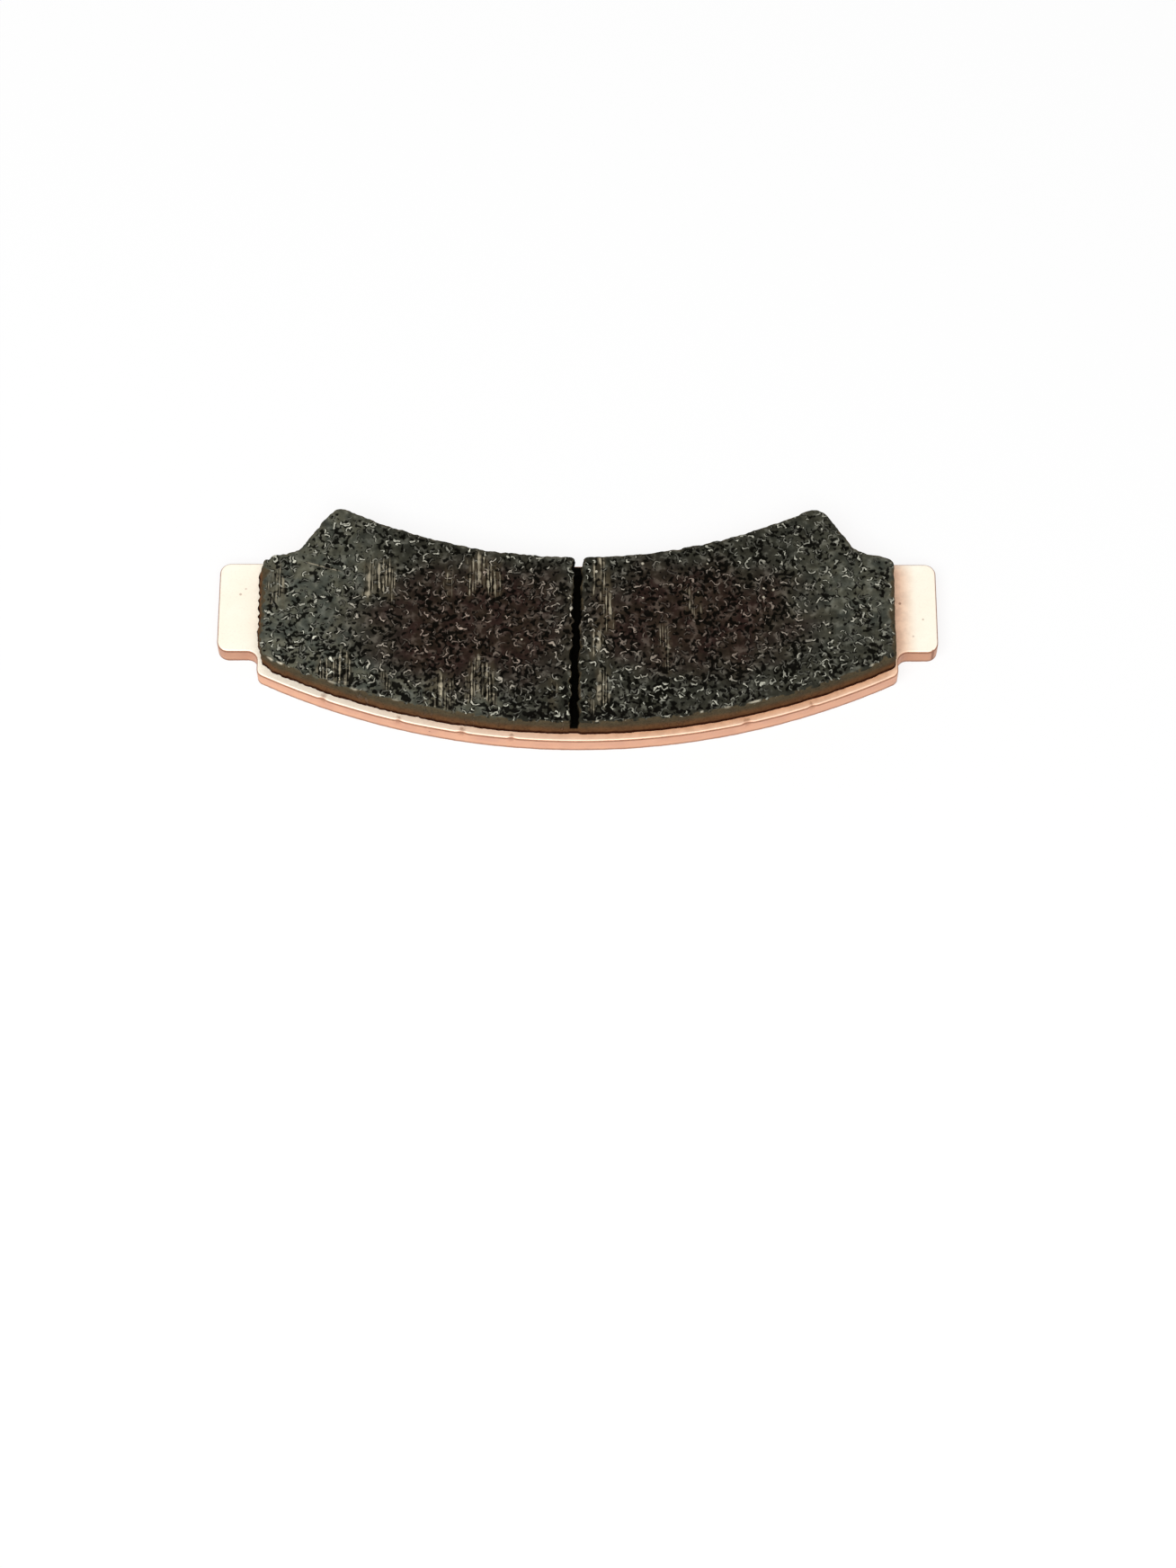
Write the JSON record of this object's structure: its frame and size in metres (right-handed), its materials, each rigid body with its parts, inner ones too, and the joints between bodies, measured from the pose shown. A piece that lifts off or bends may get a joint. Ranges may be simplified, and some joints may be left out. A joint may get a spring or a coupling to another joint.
{
  "type": "disc brake pad",
  "caption": "Curved disc brake pad: a copper-plated steel backing plate with an ear at each end carries a slotted block of dark sintered lining.",
  "frame": {"origin": "on the plate's flat back face, midway between the ears and on their centre line", "axes": "+X from ear to ear, +Y towards the rotor's axis (the hollow edge), +Z from the back face towards the rotor"},
  "size_m": [0.07, 0.0247, 0.0045],
  "materials": {
    "copper_plated_steel": "satin copper plating on blanked steel",
    "sintered_lining": "rough, granular sintered metal"
  },
  "bodies": {
    "root": {"backing_plate": "copper_plated_steel", "friction_lining": "sintered_lining"}
  },
  "joints": []
}
